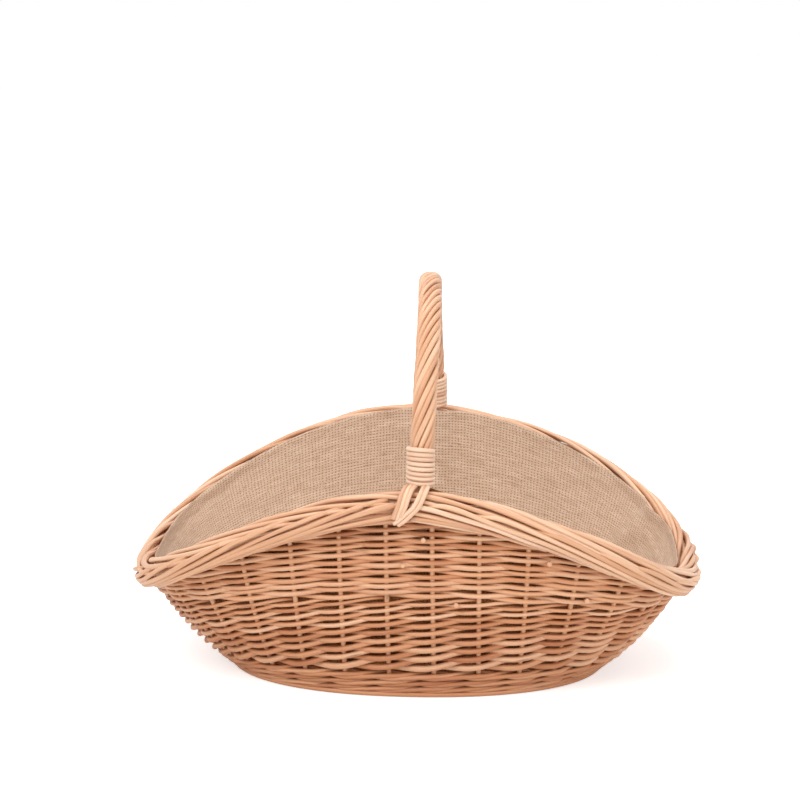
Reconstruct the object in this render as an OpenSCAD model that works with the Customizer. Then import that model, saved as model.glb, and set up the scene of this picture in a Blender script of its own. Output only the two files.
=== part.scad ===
// Lined willow trug: a boat-shaped garden basket on an oval base, with a roped bow handle.
// Origin: middle of the underside of the base. X runs along the length, Y across, Z up.
// The handle spans the width a little to the right of the middle, seen from the front (-Y).

/* [Body] */
// Half length at the outer face of the border
body_half_length = 301; // [280:1:320]
// Half width at the outer face of the border
body_half_width = 205; // [190:1:220]
// Height of the border's top in the middle of the long sides
rim_mid_height = 242; // [230:1:254]
// Height of the border's top at the ends
rim_end_height = 132; // [124:1:142]
// How sharply the rim dips towards the ends
rim_dip_power = 1.8; // [1.6:0.1:2.4]
// Squareness of the rim's oval, 2 is a plain ellipse
rim_squareness = 3.1; // [2.2:0.1:3.4]
// Outward bow of the end walls, as a share of their length
end_belly = 0.05; // [0.03:0.005:0.1]
// Outward bow of the long walls, as a share of their height
side_belly = 0.042; // [0.02:0.002:0.05]

/* [Base] */
// Half length of the woven base
base_half_length = 190; // [178:1:200]
// Half width of the woven base
base_half_width = 115; // [106:1:122]
// Squareness of the base's oval
base_squareness = 2.2; // [2:0.1:3]
// Thickness of the woven base
base_thickness = 9.5; // [9:0.1:11]
// Thickness of the cross sticks
cross_stick_d = 8; // [7.5:0.1:8.6]
// Thickness of the long sticks
long_stick_d = 5.6; // [5:0.1:6]
// Number of cross sticks
cross_sticks = 7; // [5:2:7]
// Number of long sticks
long_sticks = 5; // [3:2:5]

/* [Stakes] */
// Number of side stakes
stakes = 36; // [24:12:36]
// Thickness of a side stake
stake_d = 5; // [4.4:0.1:5.4]
// Depth of a stake's foot in the base
stake_foot = 10; // [6:0.5:11]

/* [Weave] */
// Thickness of the upsett's rods
wale_d = 4.2; // [3.6:0.1:4.4]
// Rows of waling in the upsett
wale_rows = 5; // [4:1:5]
// Rise of each waling row along the wall
wale_pitch = 4.7; // [4.6:0.1:5.2]
// Butt thickness of the siding rods
rand_butt_d = 4.8; // [4.4:0.1:5]
// Tip thickness of the siding rods
rand_tip_d = 3.4; // [3:0.1:3.8]
// Number of stakes that a siding rod passes
rand_reach = 19; // [14:1:19]
// Rise of a siding rod per stake at its butt
rand_rise = 5.4; // [5.3:0.1:5.6]
// Thickness of the packing rods under the border
packing_d = 3.4; // [3:0.1:3.8]
// Rise of each packing row along the wall
packing_pitch = 4.3; // [4.2:0.1:5]
// Clearance between rods that pass each other
rod_gap = 0.3; // [0.2:0.05:0.4]

/* [Border] */
// Thickness of the rods in the border's upper plait
plait_d = 6; // [5.4:0.1:6.2]
// Thickness of the rods in the border's lower edge
trac_d = 5.4; // [4.8:0.1:5.6]

/* [Handle] */
// Distance of the handle from the middle of the basket
handle_x = 11; // [6:0.5:20]
// Height of the handle's top
handle_top = 424; // [410:1:440]
// How far the centre of the bow's legs stands inside the stakes
leg_set_in = 14; // [13.8:0.1:14.6]
// Thickness of the bow
bow_d = 13; // [12:0.2:13]
// Thickness of the roped handle
rope_d = 26; // [25:0.2:28]
// Turns of each whipping
whipping_turns = 8; // [6:1:9]
// Thickness of the whipping rod
whipping_d = 3.7; // [3.4:0.1:3.8]
// Rise of each turn of the whipping
whipping_pitch = 4.5; // [4.5:0.1:4.8]

/* [Lining] */
// Thickness of the hessian
lining_t = 1.4; // [1.2:0.1:2]
// How far the lining stands in over the legs of the bow
lining_bulge = 19.5; // [19:0.5:22]

/* [Hidden] */
$fn = 48;
step = 360 / stakes;
stake_r = stake_d / 2;
quarter = stakes / 4;
// The middle of each wall and each end lies half way between two stakes
function stake_angle(i) = (i + 0.5) * step;

// The stakes leave the base half way up its edge and end inside the border
foot_z = base_thickness / 2;
foot_out = 3;
border_top = 17.4;
border_out = 17;
border_foot = 18.6;
stake_half_length = body_half_length - border_out - 1;
stake_half_width = body_half_width - border_out;
base_gather = 11;
rim_gather = 2;

// Points on a squared oval, in the direction of the ellipse's own angle t
function oval_stretch(t, n) = pow(pow(abs(cos(t)), n) + pow(abs(sin(t)), n), -1 / n);
function on_oval(a, b, n, t) = [a * cos(t), b * sin(t)] * oval_stretch(t, n);
function base_point(p) =
    let (t = p - base_gather * sin(2 * p))
    on_oval(base_half_length + foot_out, base_half_width + foot_out, base_squareness, t);
function rim_point(p) =
    let (t = p + rim_gather * sin(2 * p))
    on_oval(stake_half_length, stake_half_width, rim_squareness, t);
function rim_top(x) =
    rim_mid_height - (rim_mid_height - rim_end_height) * pow(abs(x) / stake_half_length, rim_dip_power);
function belly(p) = side_belly + (end_belly - side_belly) * pow(cos(p), 2);

// A stake is an arc in the upright plane through its two ends:
// [start x, start y, direction, radius, slope at the foot, slope at the border, length]
function stake_arc(p) =
    let (
        b = base_point(p),
        r = rim_point(p),
        way = atan2(r[1] - b[1], r[0] - b[0]),
        run = norm(r - b),
        rise = rim_top(r[0]) - border_top - foot_z,
        chord = norm([run, rise]),
        sag = chord * belly(p),
        radius = (chord * chord / 4 + sag * sag) / (2 * sag),
        half = asin(chord / (2 * radius)),
        slope = atan2(rise, run)
    )
    [b[0], b[1], way, radius, slope - half, slope + half, radius * half * PI / 90];
function arc_length(p) = stake_arc(p)[6];

// The wall at angle p and distance s along the stake: [point, outward normal, direction up the wall]
function wall_frame(p, s) =
    let (
        a = stake_arc(p),
        slope = a[4] + s / a[3] * 180 / PI,
        out = a[3] * (sin(slope) - sin(a[4])),
        up = a[3] * (cos(a[4]) - cos(slope)),
        c = cos(a[2]),
        d = sin(a[2])
    )
    [
        [a[0] + out * c, a[1] + out * d, foot_z + up],
        [sin(slope) * c, sin(slope) * d, -cos(slope)],
        [cos(slope) * c, cos(slope) * d, sin(slope)]
    ];
// A point that stands off the wall by d, outward positive
function off_wall(p, s, d) = let (f = wall_frame(p, s)) f[0] + d * f[1];

// Rods as tubes. A ring is [centre, first axis, second axis, radius].
function ring_points(ring, sides) = [
    for (k = [0 : sides - 1])
    let (a = 360 * (k + 0.5) / sides)
    ring[0] + ring[3] * (cos(a) * ring[1] + sin(a) * ring[2])
];
function wall_ring(p, s, d, r) = let (f = wall_frame(p, s)) [f[0] + d * f[1], f[1], f[2], r];

module tube(rings, sides, closed = false) {
    n = len(rings);
    spans = closed ? n : n - 1;
    points = [for (ring = rings) each ring_points(ring, sides)];
    walls = [
        for (i = [0 : spans - 1], k = [0 : sides - 1])
        let (a = i * sides, b = ((i + 1) % n) * sides, m = (k + 1) % sides)
        each [[a + k, b + m, b + k], [a + k, a + m, b + m]]
    ];
    caps = closed ? [] : [
        [for (k = [sides - 1 : -1 : 0]) k],
        [for (k = [0 : sides - 1]) (n - 1) * sides + k]
    ];
    polyhedron(points = points, faces = concat(walls, caps), convexity = 6);
}

// How far a rod swings out from the stakes: more where the stakes are close and the rod turns fast
function stake_spacing(p, s) = norm(wall_frame(p + step, s)[0] - wall_frame(p, s)[0]);
function swing(p, s, d) =
    let (reach = stake_r + d / 2 + rod_gap)
    reach * sqrt(1 + pow(2 * reach / stake_spacing(p, s), 2));

weave_sides = 4;
border_sides = 5;

// Upsett: a foot row outside the stakes, then rows in front of two stakes and behind one
foot_row_z = wale_d / 2 + 0.4;
wale_reach = stake_r + wale_d / 2 + rod_gap;
function wale_start(p) =
    let (
        slope = stake_arc(p)[4],
        above_foot_row = (foot_row_z - foot_z + wale_reach * cos(slope)) / sin(slope) + wale_pitch,
        above_base = (base_thickness + rod_gap + wale_d / 2 - foot_z - wale_reach * cos(slope)) / sin(slope)
    )
    max(above_foot_row, above_base) + rod_gap;
function wale_height(p, row) = wale_start(p) + row * wale_pitch;
module foot_row() {
    rings = [
        for (i = [0 : stakes - 1])
        let (
            a = stake_arc(stake_angle(i)),
            out = (wale_reach - (foot_z - foot_row_z) * cos(a[4])) / sin(a[4])
        )
        [
            [a[0] + out * cos(a[2]), a[1] + out * sin(a[2]), foot_row_z],
            [cos(a[2]), sin(a[2]), 0],
            [0, 0, 1],
            wale_d / 2
        ]
    ];
    tube(rings, weave_sides, true);
}
module wale_row(row) {
    rings = [
        for (i = [0 : stakes - 1])
        let (p = stake_angle(i), s = wale_height(p, row), side = (i + row) % 3 == 0 ? -1 : 1)
        wall_ring(p, s, side * swing(p, s, wale_d), wale_d / 2)
    ];
    tube(rings, weave_sides, true);
}

// Siding: one rod starts at each stake, and each climbs to the right, before one stake, behind one
rand_start = wale_height(0, wale_rows) + 1;
rand_rise_tip = rand_tip_d + 0.5;
function rand_height(m) =
    rand_start + rand_rise * m - (rand_rise - rand_rise_tip) * m * m / (2 * rand_reach);
function rand_d(m) = rand_butt_d + (rand_tip_d - rand_butt_d) * m / rand_reach;
module rand_rod(j) {
    rings = [
        for (m = [0 : rand_reach])
        let (
            p = stake_angle(j + m),
            s = rand_height(m),
            side = m % 2 == 0 ? 1 : -1
        )
        wall_ring(p, s, side * swing(p, s, rand_d(m)), rand_d(m) / 2)
    ];
    tube(rings, weave_sides);
}

// Packing: level rows above the siding, each as long as the border leaves room for
packing_start = rand_height(rand_reach) + (rand_tip_d + packing_d) / 2 + 1.2;
packing_room = border_foot + packing_d / 2 + 1;
packing_rows = floor((arc_length(90) - packing_room - packing_start) / packing_pitch) + 1;
function packing_height(row) = packing_start + row * packing_pitch;
// How many stakes the row runs to either side of the middle of a long wall
function packing_half(row) =
    max([
        for (h = [0 : quarter - 1])
        arc_length(90 - (h + 0.5) * step) - packing_room > packing_height(row) ? h : 0
    ]);
module packing_row(row, middle) {
    half = packing_half(row);
    s = packing_height(row);
    rings = [
        for (h = [-half - 1 : half])
        let (
            p = middle + (h + 0.5) * step,
            side = abs(h + row) % 2 == 0 ? 1 : -1
        )
        wall_ring(p, s, side * swing(p, s, packing_d), packing_d / 2)
    ];
    tube(rings, weave_sides);
}
module packing(middle) {
    for (row = [0 : packing_rows - 1])
        packing_row(row, middle);
}

// Border: the frame at the rim stands half way between the wall's slope and upright
function border_frame(p) =
    let (
        a = stake_arc(p),
        end = wall_frame(p, a[6]),
        tilt = (a[5] + 90) / 2,
        c = cos(a[2]),
        d = sin(a[2])
    )
    [end[0], [sin(tilt) * c, sin(tilt) * d, -cos(tilt)], [cos(tilt) * c, cos(tilt) * d, sin(tilt)]];
function border_ring(p, out, up, r) =
    let (f = border_frame(p))
    [f[0] + out * f[1] + up * f[2], f[1], f[2], r];
// Where a rod lies in the border's section after each stake that it passes, as [out, up]
plait_way = [[-5.5, 4.6], [-3.7, 11.4], [2.6, 14.3], [9.2, 11.9], [12.5, 5.7]];
trac_way = [[8.2, 2.6], [13.2, -1.2], [14.2, -7.2], [11.6, -12.7], [6.3, -15.8]];
module border_rod(j, way, d) {
    rings = [
        for (m = [0 : len(way) - 1])
        border_ring((j + m) * step, way[m][0], way[m][1], d / 2)
    ];
    tube(rings, border_sides);
}

// Handle: one round arch whose feet run down inside the wall
arch_r = stake_half_width - leg_set_in;
arch_z = handle_top - rope_d / 2 - arch_r;
bow_r = bow_d / 2;
foot_angle = -24;
border_crown = rim_top(handle_x) + 0.8;
bound_r = bow_r + 3.9;
whipping_r = bound_r + whipping_d / 2 + rod_gap;
bound_angle = asin((border_crown - arch_z) / arch_r);
// A piece of the arch from angle a to b, measured up from the front foot's level
module arch_piece(a, b) {
    translate([handle_x, 0, arch_z])
        rotate([0, -90, 0])
            rotate([0, 0, -90 + a])
                rotate_extrude(angle = b - a, $fn = 96)
                    translate([arch_r, 0])
                        children();
}
module ring_section(outer_r) {
    difference() {
        circle(r = outer_r);
        circle(r = bow_r + rod_gap);
    }
}
tail_d = 4.6;
// The helix of a whipping: its ends run straight for one rod diameter
loop_rings = 18;
coil_lift = tail_d + 0.7 + whipping_d / 2;
function coil_angle(turn) = bound_angle + (coil_lift + turn * whipping_pitch) / arch_r * 180 / PI;
function arch_frame(angle) = [
    [handle_x, -arch_r * cos(angle), arch_z + arch_r * sin(angle)],
    [0, -cos(angle), sin(angle)],
    [0, sin(angle), cos(angle)]
];
rope_angle = coil_angle(whipping_turns) + (whipping_d / 2 + 0.5) / arch_r * 180 / PI;
function coil_point(turn) =
    let (
        f = arch_frame(coil_angle(turn)),
        a = 360 * turn
    )
    f[0] + whipping_r * (cos(a) * f[1] + sin(a) * [1, 0, 0]);
function coil_ring(turn) =
    let (
        f = arch_frame(coil_angle(turn)),
        a = 360 * turn
    )
    [coil_point(turn), cos(a) * f[1] + sin(a) * [1, 0, 0], f[2], whipping_d / 2];
function straight_end(turn, way) =
    let (
        ring = coil_ring(turn),
        along_coil = coil_point(turn + way * 0.01) - ring[0],
        ahead = along_coil / norm(along_coil)
    )
    [ring[0] + ahead * whipping_d, ring[1], ring[2], ring[3]];
coil_steps = whipping_turns * loop_rings;
coil_rings = concat(
    [straight_end(0, -1)],
    [for (k = [0 : coil_steps]) coil_ring(k / loop_rings)],
    [straight_end(whipping_turns, 1)]
);
coil_gap = min([
    for (k = [0 : coil_steps - loop_rings], q = [-3 : 3])
    norm(coil_point((k + loop_rings + q * 0.5) / loop_rings) - coil_point(k / loop_rings))
]) - whipping_d;
echo(least_gap_between_whipping_turns = coil_gap);

// Strand ends over the border at each foot, as [start beside the handle, end beside the handle]
tail_rest = border_out + tail_d / 2 + 0.4;
tail_crown = border_top + tail_d / 2 + 0.4;
long_tails = [[-3, -20], [-8.2, -25.2], [-13.4, -30.4]];
curved_tails = [[8, -9.6], [2.4, -14.8]];
tail_way = [
    [-1.6, tail_crown], [7.5, tail_crown - 0.5], [15.6, 14.6],
    [tail_rest, 4], [tail_rest, -8], [tail_rest - 2, -17]
];
function rim_angle_at(x) = 270 + asin(x / stake_half_length) * 0.97;
function tail_across(k) =
    let (way = tail_way[min(k + 1, len(tail_way) - 1)] - tail_way[max(k - 1, 0)])
    [-way[1], way[0]] / norm(way);
module tail(start, end, bend) {
    last = len(tail_way) - 1;
    rings = [
        for (k = [0 : last])
        let (
            x = handle_x + start + (end - start) * pow(k / last, bend),
            f = border_frame(rim_angle_at(x)),
            place = tail_way[k],
            across = tail_across(k)
        )
        [f[0] + place[0] * f[1] + place[1] * f[2], across[0] * f[1] + across[1] * f[2], [1, 0, 0], tail_d / 2]
    ];
    tube(rings, border_sides);
}

// Lining: a cloth shell inside the wall, drawn in over the legs of the bow
lining_clear = stake_r + rand_butt_d + 2 * rod_gap + 1;
lining_levels = [0.06, 0.2, 0.38, 0.56, 0.72, 0.86, 1];
lining_raised = [0, 0, 0.15, 0.75, 1, 1, 1];
lining_floor_z = base_thickness + rod_gap;
leg_spread = stake_half_width * sin(step) + bow_r;
function handle_column(i) = abs(rim_point(stake_angle(i))[0] - handle_x) < leg_spread;
function lining_point(i, level, extra) =
    let (
        p = stake_angle(i),
        top = arc_length(p) + 2,
        raised = handle_column(i) ? lining_bulge * lining_raised[level] : 0
    )
    off_wall(p, lining_levels[level] * top, -lining_clear - raised - extra);
function lining_hem(i, extra) =
    let (q = base_point(stake_angle(i)), shrink = 1 - (foot_out + 4) / norm(q))
    [q[0] * shrink, q[1] * shrink, lining_floor_z + lining_t + 0.3 + extra];

// The solids
willow = [0.82, 0.58, 0.40];
pale_willow = [0.90, 0.68, 0.50];
peeled_wood = [0.80, 0.62, 0.44];
hessian = [0.76, 0.64, 0.52];

// Sticks lie half way between the feet of neighbouring stakes
function between_feet(i) = (base_point(stake_angle(i)) + base_point(stake_angle(i + 1))) / 2;
cross_half = (cross_sticks - 1) / 2;
long_half = (long_sticks - 1) / 2;
function cross_x(k) = between_feet(quarter - 1 + k)[0];
function cross_reach(x) =
    let (rest = 1 - pow(abs(x) / base_half_length, base_squareness))
    base_half_width * pow(rest, 1 / base_squareness);
function long_y(k) = between_feet(k - 1)[1];
function long_reach(y) =
    let (rest = 1 - pow(abs(y) / base_half_width, base_squareness))
    base_half_length * pow(rest, 1 / base_squareness) - stake_foot - 4;

module cross_stick_rod(x, d, length) {
    translate([x, 0, foot_z])
        rotate([90, 0, 0])
            cylinder(d = d, h = 2 * length, center = true);
}
module long_stick_rod(y, d, length) {
    translate([0, y, foot_z])
        rotate([0, 90, 0])
            cylinder(d = d, h = 2 * length, center = true);
}
module stake_foot_rod(i, d, length) {
    a = stake_arc(stake_angle(i));
    translate([a[0], a[1], foot_z])
        rotate([0, 0, a[2]])
            rotate([0, -90, 0])
                cylinder(d = d, h = length);
}

module base_weave() {
    outline = [
        for (t = [0 : 5 : 355])
        on_oval(base_half_length, base_half_width, base_squareness, t)
    ];
    color(willow)
        difference() {
            linear_extrude(base_thickness)
                polygon(outline);
            for (k = [-cross_half : cross_half])
                cross_stick_rod(cross_x(k), cross_stick_d + rod_gap, base_half_width + 1);
            for (k = [-long_half : long_half])
                long_stick_rod(long_y(k), long_stick_d + rod_gap, long_reach(long_y(k)) + rod_gap);
            for (i = [0 : stakes - 1])
                stake_foot_rod(i, stake_d + rod_gap, foot_out + stake_foot + rod_gap);
        }
}
module base_cross_sticks() {
    slot = long_y(long_half) + long_stick_d / 2 + 3;
    color(peeled_wood)
        for (k = [-cross_half : cross_half])
            difference() {
                cross_stick_rod(cross_x(k), cross_stick_d, cross_reach(cross_x(k)) - 2);
                translate([cross_x(k), 0, foot_z])
                    cube([cross_stick_d + 2, 2 * slot, long_stick_d + rod_gap], center = true);
            }
}
module base_long_sticks() {
    color(peeled_wood)
        for (k = [-long_half : long_half])
            long_stick_rod(long_y(k), long_stick_d, long_reach(long_y(k)));
}
module side_stake(i) {
    a = stake_arc(stake_angle(i));
    centre_out = -a[3] * sin(a[4]);
    color(willow) {
        translate([a[0] + centre_out * cos(a[2]), a[1] + centre_out * sin(a[2]), foot_z + a[3] * cos(a[4])])
            rotate([90, 0, a[2]])
                rotate([0, 0, a[4] - 90])
                    rotate_extrude(angle = a[5] - a[4], $fn = 96)
                        translate([a[3], 0])
                            circle(d = stake_d, $fn = 24);
        stake_foot_rod(i, stake_d - 0.2, foot_out + stake_foot);
        translate([a[0], a[1], foot_z])
            sphere(d = stake_d + 0.3, $fn = 24);
    }
}
module upsett_foot_row() {
    color(willow)
        foot_row();
}
module upsett_wale(row) {
    color(willow)
        wale_row(row);
}
module siding_rods() {
    color(willow)
        for (j = [0 : stakes - 1])
            rand_rod(j);
}
module packing_front() {
    color(willow)
        packing(270);
}
module packing_back() {
    color(willow)
        packing(90);
}
module border_plait() {
    color(pale_willow)
        for (j = [0 : stakes - 1])
            border_rod(j, plait_way, plait_d);
}
module border_trac() {
    color(pale_willow)
        for (j = [0 : stakes - 1])
            border_rod(j, trac_way, trac_d);
}
module handle_bow() {
    color(willow)
        arch_piece(foot_angle, 180 - foot_angle)
            circle(r = bow_r);
}
module handle_rope() {
    color(pale_willow)
        arch_piece(rope_angle, 180 - rope_angle)
            ring_section(rope_d / 2);
}
module bound_strands() {
    color(pale_willow) {
        arch_piece(bound_angle, rope_angle - 0.1)
            ring_section(bound_r);
        arch_piece(180.1 - rope_angle, 180 - bound_angle)
            ring_section(bound_r);
    }
}
module whipping() {
    color(pale_willow)
        tube(coil_rings, border_sides);
}
module whipping_front() {
    whipping();
}
module whipping_back() {
    mirror([0, 1, 0])
        whipping();
}
module tails() {
    color(pale_willow) {
        for (t = long_tails)
            tail(t[0], t[1], 1);
        for (t = curved_tails)
            tail(t[0], t[1], 1.4);
    }
}
module tails_front() {
    tails();
}
module tails_back() {
    mirror([0, 1, 0])
        tails();
}
module lining_side() {
    levels = len(lining_levels) + 1;
    function skin(extra) = concat(
        [for (i = [0 : stakes - 1]) lining_hem(i, extra)],
        [for (l = [0 : levels - 2], i = [0 : stakes - 1]) lining_point(i, l, extra)]
    );
    count = levels * stakes;
    last = (levels - 1) * stakes;
    side_faces = [
        for (l = [0 : levels - 2], i = [0 : stakes - 1])
        let (a = l * stakes + i, b = l * stakes + (i + 1) % stakes)
        each [
            [a, b + stakes, b], [a, a + stakes, b + stakes],
            [count + a, count + b, count + b + stakes], [count + a, count + b + stakes, count + a + stakes]
        ]
    ];
    edge_faces = [
        for (i = [0 : stakes - 1])
        let (n = (i + 1) % stakes)
        each [
            [i, n, count + n], [i, count + n, count + i],
            [last + i, count + last + n, last + n], [last + i, count + last + i, count + last + n]
        ]
    ];
    color(hessian)
        polyhedron(
            points = concat(skin(0), skin(lining_t)),
            faces = concat(side_faces, edge_faces),
            convexity = 6
        );
}
module lining_floor() {
    outline = [
        for (t = [0 : 10 : 350])
        on_oval(base_half_length - 4, base_half_width - 4, base_squareness, t)
    ];
    color(hessian)
        translate([0, 0, lining_floor_z])
            linear_extrude(lining_t)
                polygon(outline);
}

base_weave();
base_cross_sticks();
base_long_sticks();
for (i = [0 : stakes - 1])
    side_stake(i);
upsett_foot_row();
for (row = [0 : wale_rows - 1])
    upsett_wale(row);
siding_rods();
packing_front();
packing_back();
border_plait();
border_trac();
handle_bow();
handle_rope();
bound_strands();
whipping_front();
whipping_back();
tails_front();
tails_back();
lining_side();
lining_floor();
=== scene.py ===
import math
import random

import bmesh
import bpy
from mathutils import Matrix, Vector, noise


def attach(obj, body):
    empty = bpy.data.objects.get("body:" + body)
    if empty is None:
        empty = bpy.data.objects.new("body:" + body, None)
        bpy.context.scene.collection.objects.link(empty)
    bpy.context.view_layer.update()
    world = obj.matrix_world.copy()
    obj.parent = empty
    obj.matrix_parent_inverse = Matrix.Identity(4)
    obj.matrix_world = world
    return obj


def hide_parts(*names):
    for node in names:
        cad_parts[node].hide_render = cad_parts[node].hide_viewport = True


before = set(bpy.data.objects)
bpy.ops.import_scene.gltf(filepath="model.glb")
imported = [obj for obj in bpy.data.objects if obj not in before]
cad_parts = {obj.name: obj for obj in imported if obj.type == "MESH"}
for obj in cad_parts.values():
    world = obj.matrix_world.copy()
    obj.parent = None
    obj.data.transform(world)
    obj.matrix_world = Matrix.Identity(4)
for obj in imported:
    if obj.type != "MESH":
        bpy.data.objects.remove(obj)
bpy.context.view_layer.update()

# A lined willow trug on an oval base. Sizes are metres, angles degrees, as in the CAD.
mm = 0.001

# Body
body_half_length = 301 * mm
body_half_width = 205 * mm
rim_mid_height = 242 * mm
rim_end_height = 132 * mm
rim_dip_power = 1.8
rim_squareness = 3.1
end_belly = 0.05
side_belly = 0.042
base_half_length = 190 * mm
base_half_width = 115 * mm
base_squareness = 2.2
base_thickness = 9.5 * mm
base_rod_d = 3.6 * mm
base_rod_lift = 2.1 * mm
base_edge = 0.8 * mm
cross_sticks = 7
long_sticks = 5
foot_z = base_thickness / 2
foot_out = 3 * mm
border_top = 17.4 * mm
border_out = 17 * mm
border_slack = 1 * mm
stake_half_length = body_half_length - border_out - border_slack
stake_half_width = body_half_width - border_out
base_gather = 11
rim_gather = 2
stakes = 36
step = 360 / stakes
quarter = stakes // 4
stake_d = 5 * mm
rod_gap = 0.3 * mm

# Weave
wale_d = 4.5 * mm
wale_rounds = 3
wale_pitch = 4.5 * mm
wale_press = 0.8 * mm
wale_sink = 1.2 * mm
cad_wale_rows = 5
foot_rod_d = 5.6 * mm
rand_butt_d = 6.4 * mm
rand_tip_d = 3.5 * mm
rand_taper = 1.25
rand_reach = 18
rand_rise = 6.5 * mm
rand_rise_tip = 3.7 * mm
rand_press = 1.6 * mm
rand_settle = 1.4 * mm
rand_sink = 0.5 * mm
packing_d = 4.5 * mm
packing_pitch = 4.1 * mm
packing_press = 1.9 * mm
packing_settle = 0.8 * mm
packing_gap = 1.2 * mm
packing_room = 9 * mm
packing_end = 3 * mm
cut_end_d = 4.7 * mm
cut_end_step = 2.8 * mm

# Border
upper_d = 5.2 * mm
lower_d = 4.8 * mm
squat_below = 0.36
squat_above = 0.1
back_thinning = 0.35

# Handle
handle_x = 11 * mm
handle_top = 424 * mm
bow_r = 6.5 * mm
rope_r = 13 * mm
strands = 10
strand_r = 12.3 * mm
strand_d = 5.4 * mm
strand_turn = 152 * mm
bound_r = bow_r + 3.9 * mm
bound_strand_r = bound_r - 2.4 * mm
whipping_turns = 7
whipping_pitch = 4.6 * mm
whipping_d = 4.5 * mm
whipping_press = 0.3 * mm
whipping_room = 2.2 * mm
tail_d = 4.6 * mm
tail_spread = 0.97
arch_r = stake_half_width - 14 * mm
arch_z = handle_top - rope_r - arch_r
handle_lean = 2.2 * mm
handle_twist = 3.6 * mm
handle_foot = -24

# Lining
cloth_t = 0.9 * mm
lining_t = 1.4 * mm
lining_clear = stake_d / 2 + 4.8 * mm + 2 * rod_gap + 1 * mm
lining_bulge = 16.77 * mm
lining_over = 12 * mm
lining_turn = 14 * mm
lining_floor_z = base_thickness + rod_gap
lining_girth = 1.36
lining_height = 0.21
hem_share = 0.05
foot_share = 0.06
floor_inset = 4.5 * mm


def power_sum(t, n):
    return (abs(math.cos(t)) ** n + abs(math.sin(t)) ** n) ** (-1 / n)


def on_oval(a, b, n, degrees):
    t = math.radians(degrees)
    return Vector((a * math.cos(t), b * math.sin(t))) * power_sum(t, n)


def stake_angle(i):
    return (i + 0.5) * step


def base_point(p):
    t = p - base_gather * math.sin(math.radians(2 * p))
    return on_oval(base_half_length + foot_out, base_half_width + foot_out, base_squareness, t)


def rim_point(p):
    t = p + rim_gather * math.sin(math.radians(2 * p))
    return on_oval(stake_half_length, stake_half_width, rim_squareness, t)


def rim_top(x):
    dip = (abs(x) / stake_half_length) ** rim_dip_power
    return rim_mid_height - (rim_mid_height - rim_end_height) * dip


arcs = {}


def stake_arc(p):
    """Start, direction, radius, slope at the foot and at the border, and length of the arc at p."""
    key = round(p % 360, 4)
    if key not in arcs:
        start = base_point(p)
        end = rim_point(p)
        run = (end - start).length
        rise = rim_top(end.x) - border_top - foot_z
        chord = math.hypot(run, rise)
        belly = side_belly + (end_belly - side_belly) * math.cos(math.radians(p)) ** 2
        sag = chord * belly
        radius = (chord * chord / 4 + sag * sag) / (2 * sag)
        half = math.asin(chord / (2 * radius))
        slope = math.atan2(rise, run)
        way = (end - start).normalized()
        arcs[key] = (start, way, radius, slope - half, slope + half, 2 * radius * half)
    return arcs[key]


def wall_frame(p, s):
    """The wall at angle p and distance s up the stake: point, outward normal, way up."""
    start, way, radius, foot_slope, rim_slope, length = stake_arc(p)
    slope = foot_slope + s / radius
    out = radius * (math.sin(slope) - math.sin(foot_slope))
    up = radius * (math.cos(foot_slope) - math.cos(slope))
    point = Vector((start.x + out * way.x, start.y + out * way.y, foot_z + up))
    normal = Vector((math.sin(slope) * way.x, math.sin(slope) * way.y, -math.cos(slope)))
    upward = Vector((math.cos(slope) * way.x, math.cos(slope) * way.y, math.sin(slope)))
    return point, normal, upward


def off_wall(p, s, d):
    point, normal, upward = wall_frame(p, s)
    return point + normal * d


def border_frame(p):
    """The rim, half way between the wall's slope and upright: point, outward, upward."""
    start, way, radius, foot_slope, rim_slope, length = stake_arc(p)
    point = wall_frame(p, length)[0]
    tilt = (rim_slope + math.pi / 2) / 2
    outward = Vector((math.sin(tilt) * way.x, math.sin(tilt) * way.y, -math.cos(tilt)))
    upward = Vector((math.cos(tilt) * way.x, math.cos(tilt) * way.y, math.sin(tilt)))
    return point, outward, upward


def swing(p, s, d, press):
    """How far a rod swings out past a stake that it presses on."""
    reach = stake_d / 2 + d / 2 - press
    spacing = (wall_frame(p + step, s)[0] - wall_frame(p, s)[0]).length
    return reach * math.sqrt(1 + (2 * reach / spacing) ** 2)


def smooth_way(way, m):
    """A smooth place along a list of [out, up] steps."""
    last = len(way) - 1
    i = min(int(m), last - 1)
    f = m - i
    a, b, c, d = (Vector(way[min(max(i + k, 0), last)]) for k in (-1, 0, 1, 2))
    return 0.5 * ((2 * b) + (c - a) * f + (2 * a - 5 * b + 4 * c - d) * f * f
                  + (3 * b - a - 3 * c + d) * f ** 3)


def ease(t):
    """From 0 to 1 with a soft start and a soft end."""
    t = min(max(t, 0), 1)
    return t * t * (3 - 2 * t)


def hump(x, middle, width):
    """A soft hump, 1 high at its middle."""
    return math.exp(-((x - middle) / width) ** 2)


def endness(p):
    """1 at the two ends of the basket, falling to 0 along its sides."""
    return abs(math.cos(math.radians(p))) ** 6


# Rods
weld = 0.005 * mm
bark_length = 3


def object_of(name, bm):
    """A bmesh as a new object of the scene."""
    mesh = bpy.data.meshes.new(name)
    bm.to_mesh(mesh)
    bm.free()
    piece = bpy.data.objects.new(name, mesh)
    bpy.context.scene.collection.objects.link(piece)
    return piece


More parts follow.
